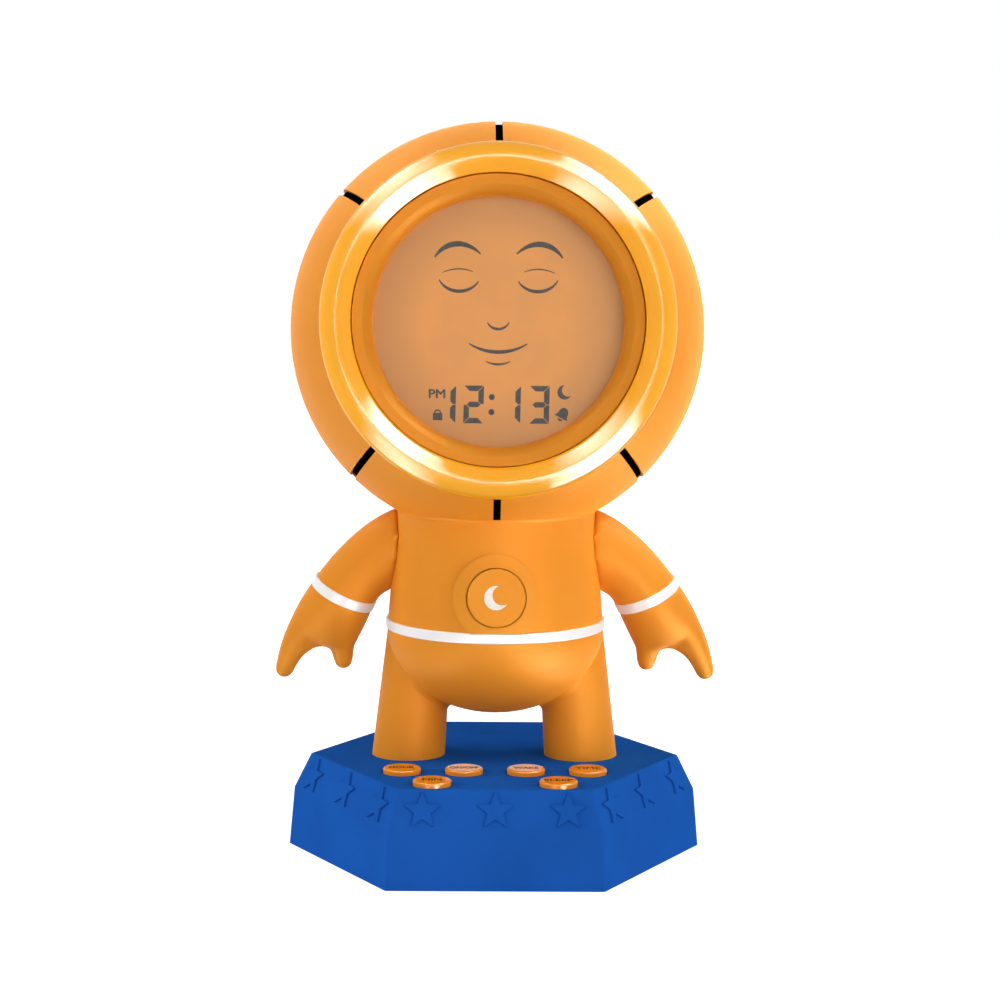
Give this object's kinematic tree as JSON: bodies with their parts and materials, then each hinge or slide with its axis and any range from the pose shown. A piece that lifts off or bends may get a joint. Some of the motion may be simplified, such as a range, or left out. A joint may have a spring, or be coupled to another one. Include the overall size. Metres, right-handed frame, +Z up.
{
  "type": "projection alarm clock",
  "caption": "Projection alarm clock: a round-headed toy figure with a display for a face, standing on a six-sided plinth of push keys, with a projector in the back of the head.",
  "frame": {"origin": "middle of the six-sided plinth, on the plane that its rim and feet stand on", "axes": "+Z up, -Y the way the display, the chest and the keys face, +X to the figure's left hand as seen on the right of a front view"},
  "size_m": [0.1282, 0.1111, 0.2102],
  "materials": {
    "plinth_blue": "satin moulded plastic with a fine grain",
    "body_orange": "fine matte moulded plastic",
    "bezel_orange": "glossy lacquered plastic",
    "key_orange": "glossy moulded plastic with printed legends",
    "band_white": "smooth white paint",
    "shroud_orange": "fine matte moulded plastic",
    "lcd_glass": "amber backlit liquid crystal glass",
    "black_plastic": "matte black moulded plastic",
    "grey_plastic": "plain grey moulded plastic",
    "light_guide": "clear acrylic light guide",
    "lens_clear": "polished clear acrylic",
    "board_green": "green solder mask",
    "rubber_dark": "dark soft rubber",
    "steel": "zinc plated steel",
    "cell_skin": "plain printed battery jacket",
    "cone_paper": "matte speaker cone"
  },
  "bodies": {
    "clock": {"plinth_shell": "plinth_blue", "base_plate": "black_plastic", "battery_door": "black_plastic", "battery_door_screw": "steel", "battery_box": "black_plastic", "battery_cells": "cell_skin", "battery_contacts": "steel", "rubber_feet": "rubber_dark", "base_screws": "steel", "main_pcb": "board_green", "pcb_screws": "steel", "key_switches": "black_plastic", "controller_chip": "black_plastic", "body_front": "body_orange", "body_rear": "body_orange", "leg_right": "body_orange", "leg_left": "body_orange", "body_screws": "steel", "leg_screws": "steel", "arm_right": "body_orange", "arm_left": "body_orange", "arm_band_right": "band_white", "arm_band_left": "band_white", "belt_band": "band_white", "chest_switch_board": "board_green", "chest_switch": "black_plastic", "speaker_basket": "steel", "speaker_cone": "cone_paper", "neck_tube": "grey_plastic", "neck_nut": "grey_plastic", "head_front": "body_orange", "head_rear": "body_orange", "head_screws": "steel", "slot_liners": "black_plastic", "bezel_ring": "bezel_orange", "bezel_screws": "steel", "display_shroud": "shroud_orange", "lcd_panel": "lcd_glass", "lcd_backlight": "light_guide", "zebra_strips": "rubber_dark", "display_board": "board_green", "display_screws": "steel", "projector_housing": "black_plastic", "projector_screws": "steel", "projector_led_board": "board_green", "projector_led": "light_guide", "projector_film": "black_plastic"},
    "hour_key": {"hour_button": "key_orange"},
    "minute_key": {"minute_button": "key_orange"},
    "alarm_key": {"alarm_button": "key_orange"},
    "wake_key": {"wake_button": "key_orange"},
    "sleep_key": {"sleep_button": "key_orange"},
    "time_key": {"time_button": "key_orange"},
    "chest_key": {"chest_button": "body_orange"},
    "focus": {"focus_ring": "black_plastic"},
    "lens": {"lens_cell": "black_plastic", "projector_lens": "lens_clear"}
  },
  "joints": [
    {"name": "hour_press", "type": "slide", "parent": "clock", "child": "hour_key", "axis": [0, 0, -1], "range_m": [0, 0.001], "stiffness_N_per_m": 400},
    {"name": "minute_press", "type": "slide", "parent": "clock", "child": "minute_key", "axis": [0, 0, -1], "range_m": [0, 0.001], "stiffness_N_per_m": 400},
    {"name": "alarm_press", "type": "slide", "parent": "clock", "child": "alarm_key", "axis": [0, 0, -1], "range_m": [0, 0.001], "stiffness_N_per_m": 400},
    {"name": "wake_press", "type": "slide", "parent": "clock", "child": "wake_key", "axis": [0, 0, -1], "range_m": [0, 0.001], "stiffness_N_per_m": 400},
    {"name": "sleep_press", "type": "slide", "parent": "clock", "child": "sleep_key", "axis": [0, 0, -1], "range_m": [0, 0.001], "stiffness_N_per_m": 400},
    {"name": "time_press", "type": "slide", "parent": "clock", "child": "time_key", "axis": [0, 0, -1], "range_m": [0, 0.001], "stiffness_N_per_m": 400},
    {"name": "chest_press", "type": "slide", "parent": "clock", "child": "chest_key", "axis": [0, 0.9968, -0.0799], "range_m": [0, 0.001], "stiffness_N_per_m": 400},
    {"name": "focus_turn", "type": "hinge", "parent": "clock", "child": "focus", "pos_m": [0, 0, 0.15073], "axis": [0, 0.788, 0.6157], "range_deg": [-60, 60]},
    {"name": "lens_travel", "type": "slide", "parent": "clock", "child": "lens", "axis": [0, 0.788, 0.6157], "range_m": [-0.001, 0.001]}
  ],
  "couplings": [
    {"joint": "lens_travel", "follows": "focus_turn", "m_per_rad": 0.00095493}
  ]
}
